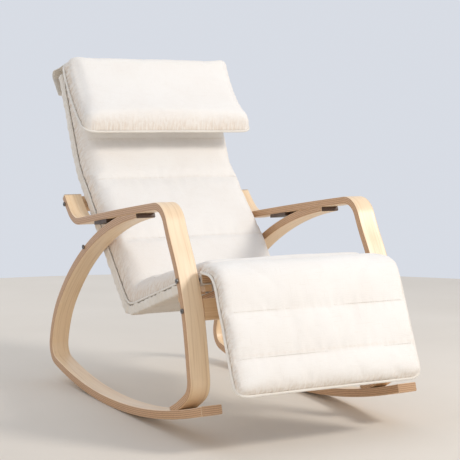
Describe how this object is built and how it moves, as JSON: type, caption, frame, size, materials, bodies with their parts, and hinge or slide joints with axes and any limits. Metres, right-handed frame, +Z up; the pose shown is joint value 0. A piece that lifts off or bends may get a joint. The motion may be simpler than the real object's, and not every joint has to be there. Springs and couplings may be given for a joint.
{
  "type": "rocking lounge chair",
  "caption": "Bentwood rocking lounge chair with loose seat, back and leg pads, a hinged headrest pillow and a footrest that slides out on notched racks.",
  "frame": {"origin": "on the floor under the middle of the bounding box", "axes": "+Z up, -Y the way the sitter faces, +X to the sitter's left"},
  "size_m": [0.658, 1.331, 1.0248],
  "materials": {
    "bent_birch": "clear satin lacquer on bent birch plywood",
    "rail_birch": "clear satin lacquer on bent birch plywood",
    "board_birch": "clear satin lacquer on solid birch",
    "bar_beech": "oiled turned beech",
    "dark_block": "dark brown stain",
    "canvas": "plain-weave cotton canvas",
    "pad_cloth": "off-white cotton and linen weave",
    "tie_tape": "woven cotton tape",
    "bolt_steel": "dark zinc-plated steel",
    "screw_steel": "zinc-plated steel"
  },
  "bodies": {
    "chair": {"arm_band_left": "bent_birch", "arm_band_right": "bent_birch", "arm_wedge_left": "dark_block", "arm_wedge_right": "dark_block", "back_rest_rail": "board_birch", "band_screws_left": "screw_steel", "band_screws_right": "screw_steel", "bolt_collars_left": "bolt_steel", "bolt_collars_right": "bolt_steel", "frame_bolts_left": "bolt_steel", "frame_bolts_right": "bolt_steel", "front_cross_board": "board_birch", "lumbar_bar": "bar_beech", "notch_rack_left": "board_birch", "notch_rack_right": "board_birch", "pillow_hood": "canvas", "rack_screws_left": "screw_steel", "rack_screws_right": "screw_steel", "rail_sleeve_left": "canvas", "rail_sleeve_right": "canvas", "rocker_band_left": "bent_birch", "rocker_band_right": "bent_birch", "seat_back_pad": "pad_cloth", "seat_back_rail_left": "rail_birch", "seat_back_rail_right": "rail_birch", "seat_back_sling": "canvas", "seat_front_bar": "bar_beech", "seat_rear_bar": "bar_beech", "top_bar": "bar_beech"},
    "footrest": {"footrest_dowel": "bar_beech", "footrest_knee_bar": "bar_beech", "footrest_low_bar": "bar_beech", "footrest_pad": "pad_cloth", "footrest_pad_straps": "tie_tape", "footrest_rail_left": "rail_birch", "footrest_rail_right": "rail_birch", "footrest_sleeve_left": "canvas", "footrest_sleeve_right": "canvas", "footrest_sling": "canvas"},
    "headrest": {"headrest_pillow": "pad_cloth"}
  },
  "joints": [
    {"name": "footrest_slide", "type": "slide", "parent": "chair", "child": "footrest", "axis": [0, -0.9553, 0.2957], "range_m": [0, 0.112]},
    {"name": "headrest_hinge", "type": "hinge", "parent": "chair", "child": "headrest", "pos_m": [0, 0.497, 1.006], "axis": [-1, 0, 0], "range_deg": [0, 70]}
  ]
}
